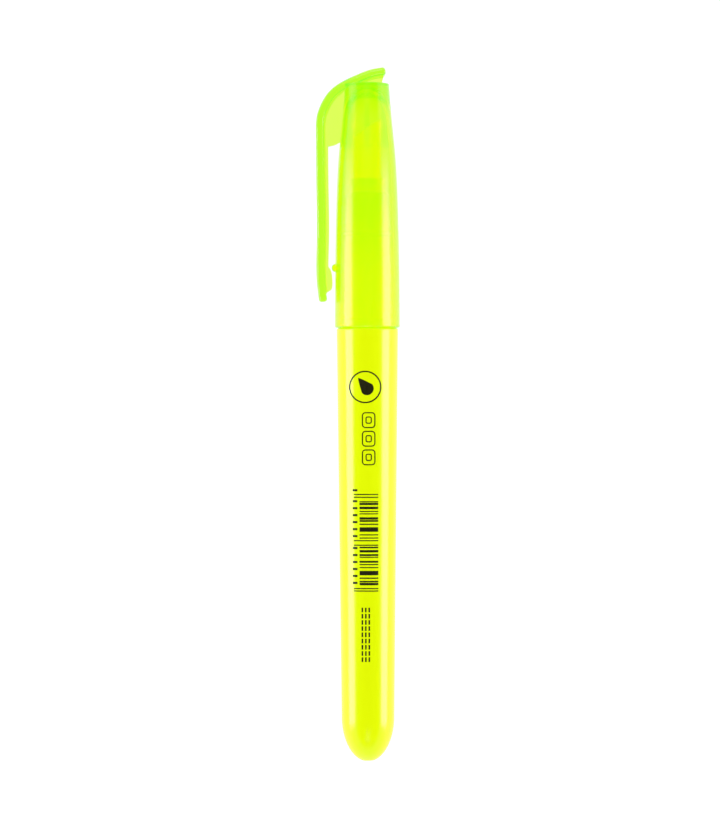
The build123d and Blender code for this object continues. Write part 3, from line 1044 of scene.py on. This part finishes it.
def makeClip():
    # a T-shaped section carried along the strap: the strap is the bar, and the stem reaches inwards
    # to the rib's height on the free arm, and to the foot line from the gusset to the ridge
    k = clip
    outer, walked, normal = clipPath()
    gussetAt = np.interp(k["gussetAtClip"], outer[:, 0], walked)
    neckAt = walked[np.argmin(np.abs(outer[:, 1] - k["neckY"]))]
    total = walked[-1]
    gussetEdge, neckEdge = k["gussetEdge"], k["neckEdge"]
    endSteps = k["endRound"] * (1 - np.cos(np.linspace(0, math.pi / 2, 9)))
    where = np.unique(np.concatenate([
        endSteps, np.arange(k["pathEnd"], total - k["pathEnd"], k["pathStep"]),
        gussetAt + np.linspace(0, gussetEdge, 14), neckAt + np.linspace(0, neckEdge, 8), total - endSteps,
    ]).round(5))
    path = readAlong(where, walked, outer)
    inward = readAlong(where, walked, normal)
    inward /= np.linalg.norm(inward, axis=1, keepdims=True)
    toEnd = np.minimum(where, total - where)
    endShare = np.clip(1 - toEnd / k["endRound"], 0, 1)
    shrink = k["edgeRound"] * (1 - np.sqrt(np.clip(1 - endShare**2, 0, 1)))
    width = k["widthAtEnd"] + (k["widthAtRidge"] - k["widthAtEnd"]) * where / total
    halfWidth = width / 2 - shrink
    low, high = shrink, k["thickness"] - shrink

    under = path + inward * high[:, None]
    arm = under + inward * ribHeight(path[:, 0])[:, None] * (endShare < 0.01)[:, None]
    foot = footLine(k["footSteps"])
    footShare = np.clip((where - gussetAt - gussetEdge) / (neckAt - gussetAt - gussetEdge), 0, 1)
    onFoot = readAlong(footShare, np.linspace(0, 1, k["footSteps"]), foot)
    rise = np.clip((where - gussetAt) / gussetEdge, 0, 1)
    edgeShare = np.column_stack([1 - np.cos(rise * math.pi / 2), np.sin(rise * math.pi / 2)])
    stem = np.where((where <= gussetAt)[:, None], arm, arm + (onFoot - arm) * edgeShare)
    past = np.clip((where - neckAt) / neckEdge, 0, 1)[:, None]
    stem = stem + (under - stem) * past
    reach = np.linalg.norm(stem - under, axis=1)
    direction = np.where(reach[:, None] > 1e-6, (stem - under) / np.maximum(reach, 1e-6)[:, None], inward)

    webHalf = k["webThickness"] / 2
    fillet = np.minimum(k["webFillet"], 0.45 * reach)
    edge = np.minimum(np.minimum(k["webEdgeRound"], 0.45 * reach), webHalf * 0.6)
    corner = np.minimum(k["edgeRound"], (high - low) * 0.48)
    quarter = np.linspace(0, math.pi / 2, 6)
    up, out = np.sin(quarter)[None, :], np.cos(quarter)[None, :]
    level = np.ones_like(up)

    def column(value):
        # one value for each ring of the section, as a column
        return np.broadcast_to(np.reshape(value, (-1, 1)), (len(where), 1))

    across = np.hstack([
        column(0.0), column(halfWidth * 0.5), column(halfWidth - corner) + column(corner) * up,
        column(halfWidth - corner) + column(corner) * out,
        column(webHalf + fillet + (halfWidth - corner - webHalf - fillet) * 0.5),
        column(webHalf + fillet) - column(fillet) * up,
        column(webHalf), column(webHalf - edge) + column(edge) * out, column(0.0),
    ])
    depth = np.hstack([
        column(low), column(low), column(low + corner) - column(corner) * out,
        column(high - corner) + column(corner) * up,
        column(high), column(high) * level, column(high), column(high) * level, column(high),
    ])
    stemReach = np.hstack([
        column(0.0), column(0.0), column(0.0) * level, column(0.0) * level, column(0.0),
        column(fillet) * (1 - out), column(fillet + (reach - fillet - edge) * 0.5),
        column(reach - edge) + column(edge) * up, column(reach),
    ])
    flat = path[:, None, :] + inward[:, None, :] * depth[..., None]
    flat = flat + direction[:, None, :] * stemReach[..., None]
    half = np.stack([along(flat[..., 0]), flat[..., 1] * mm, axisZ + across * mm], axis=-1)
    mirrored = half[:, -2:0:-1].copy()
    mirrored[..., 2] = 2 * axisZ - mirrored[..., 2]
    return gridMesh("clip_and_ridge", np.concatenate([half, mirrored], axis=1), sharpDeg=40)


clipPiece = settle(makeClip(), clipPlastic, None, "cap", "clip_arm")
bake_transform(clipPiece)
print("clip: strap, ridge, gusset and ball,", len(clipPiece.data.polygons), "faces")


# light, floor and camera

studio = {
    "floorHalf": 6.0, "floorGlow": 1.0, "floorAlbedo": 0.12, "floorRoughness": 0.9, "tailGap": 0.01,
    "sideRadiance": 7.0, "horizonRadiance": 0.75, "overheadRadiance": 0.03,
    "bandTopDeg": 31.0, "bandSoftDeg": 5.0,
    "capSide": (-0.24, -0.06), "tailSide": (0.16, 0.37),
    "lampSize": 0.5, "lampAway": 0.75, "lampHeight": 0.95, "lampPower": 5.0,
}


def makeFloor(values):
    # a wide pale table under the pen. The tapered pen lies on it, so it leans by the drop from the tail's
    # radius to the cap mouth's over the distance between them
    mouthRadius = cap["profile"][-1][1]
    mouthDrop = mouthRadius - (barrel["domeRadius"] + values["tailGap"])
    lean = mouthDrop / (cap["mouth"] - barrel["domeStart"])
    half = values["floorHalf"]
    touch = float(along(cap["mouth"]))
    corners = [(x, y, axisZ - mouthRadius * mm + (x - touch) * lean)
               for x, y in ((-half, -half), (half, -half), (half, half), (-half, half))]
    mesh = bpy.data.meshes.new("tableTop")
    mesh.from_pydata(corners, [], [(0, 1, 2, 3)])
    floor = addObject("tableTop", mesh)
    material, _, shader, _ = startFinish("paleTable")
    shade = values["floorAlbedo"]
    setSockets(shader, {"Base Color": (shade, shade, shade, 1), "Roughness": values["floorRoughness"]})
    setGlow(shader, {"glowColor": (1, 1, 1, 1), "glow": values["floorGlow"]})
    mesh.materials.append(material)


def makeWorld(values):
    # sky of a light tent: two bright bands low down on either side, a pale horizon and a dark ceiling
    world = bpy.data.worlds.new("lightTent")
    bpy.context.scene.world = world
    world.use_nodes = True
    tree = world.node_tree
    background = next(node for node in tree.nodes if node.type == "BACKGROUND")
    way = addNode(tree, "ShaderNodeSeparateXYZ")
    tree.links.new(tree.nodes.new("ShaderNodeTexCoord").outputs["Generated"], way.inputs["Vector"])

    def ramp(source, low, high, fromValue, toValue):
        # a smooth change from one value to another as the source goes from low to high
        node = addNode(tree, "ShaderNodeMapRange", {"interpolation_type": "SMOOTHSTEP"}, **{
            "From Min": low, "From Max": high, "To Min": fromValue, "To Max": toValue})
        tree.links.new(source, node.inputs["Value"])
        return node.outputs["Result"]

    bandLow = math.sin(math.radians(values["bandTopDeg"] - values["bandSoftDeg"]))
    bandHigh = math.sin(math.radians(values["bandTopDeg"] + values["bandSoftDeg"]))
    band = ramp(way.outputs["Z"], bandLow, bandHigh, 1.0, 0.0)
    turn = mathNode(tree, "DIVIDE", way.outputs["X"], mathNode(tree, "ABSOLUTE", way.outputs["Y"], 0))
    capShare = ramp(turn, *values["capSide"], 0.0, 1.0)
    tailShare = ramp(turn, *values["tailSide"], 1.0, 0.0)
    side = mathNode(tree, "MULTIPLY", capShare, tailShare)
    gain = mathNode(tree, "MULTIPLY", side, values["sideRadiance"] - values["horizonRadiance"])
    low = mathNode(tree, "ADD", values["horizonRadiance"], gain)
    strength = mathNode(tree, "ADD", values["overheadRadiance"], mathNode(tree, "MULTIPLY", band, low))
    background.inputs["Color"].default_value = (1, 1, 1, 1)
    tree.links.new(strength, background.inputs["Strength"])


def makeLamp(values, way):
    # a broad soft lamp above one end of the pen, tilted by the angle whose tangent is away over height:
    # it lights the pen but isn't mirrored along its side
    data = bpy.data.lights.new("softLamp", "AREA")
    data.shape, data.size, data.energy = "SQUARE", values["lampSize"], values["lampPower"]
    lamp = addObject("softLamp", data)
    lamp.location = (way * values["lampAway"], 0, values["lampHeight"])
    lamp.rotation_euler = (0, way * math.atan2(values["lampAway"], values["lampHeight"]), 0)
    lamp.visible_glossy = False
    lamp.visible_camera = False


view = {
    "frameHeight": 164.3, "lens": 135.0, "sensor": 36.0, "nearest": 0.01, "farthest": 100,
    "centreStation": 68.31, "centreY": -1.49, "rollDeg": -0.1,
}


def makeCamera(values):
    # straight above the pen with the cap's end up in the picture, away by the frame's height times the
    # lens over the sensor
    data = bpy.data.cameras.new("camera")
    camera = addObject("camera", data)
    data.lens, data.sensor_width, data.sensor_fit = values["lens"], values["sensor"], "AUTO"
    distance = values["frameHeight"] * mm * values["lens"] / values["sensor"]
    camera.location = (float(along(values["centreStation"])), values["centreY"] * mm, axisZ + distance)
    camera.rotation_euler = (0, 0, math.radians(90 + values["rollDeg"]))
    data.clip_start, data.clip_end = values["nearest"], values["farthest"]
    bpy.context.scene.camera = camera


makeFloor(studio)
makeWorld(studio)
makeLamp(studio, 1)
makeLamp(studio, -1)
makeCamera(view)
bpy.context.scene.view_settings.view_transform = "Standard"
print("table, light tent and camera")
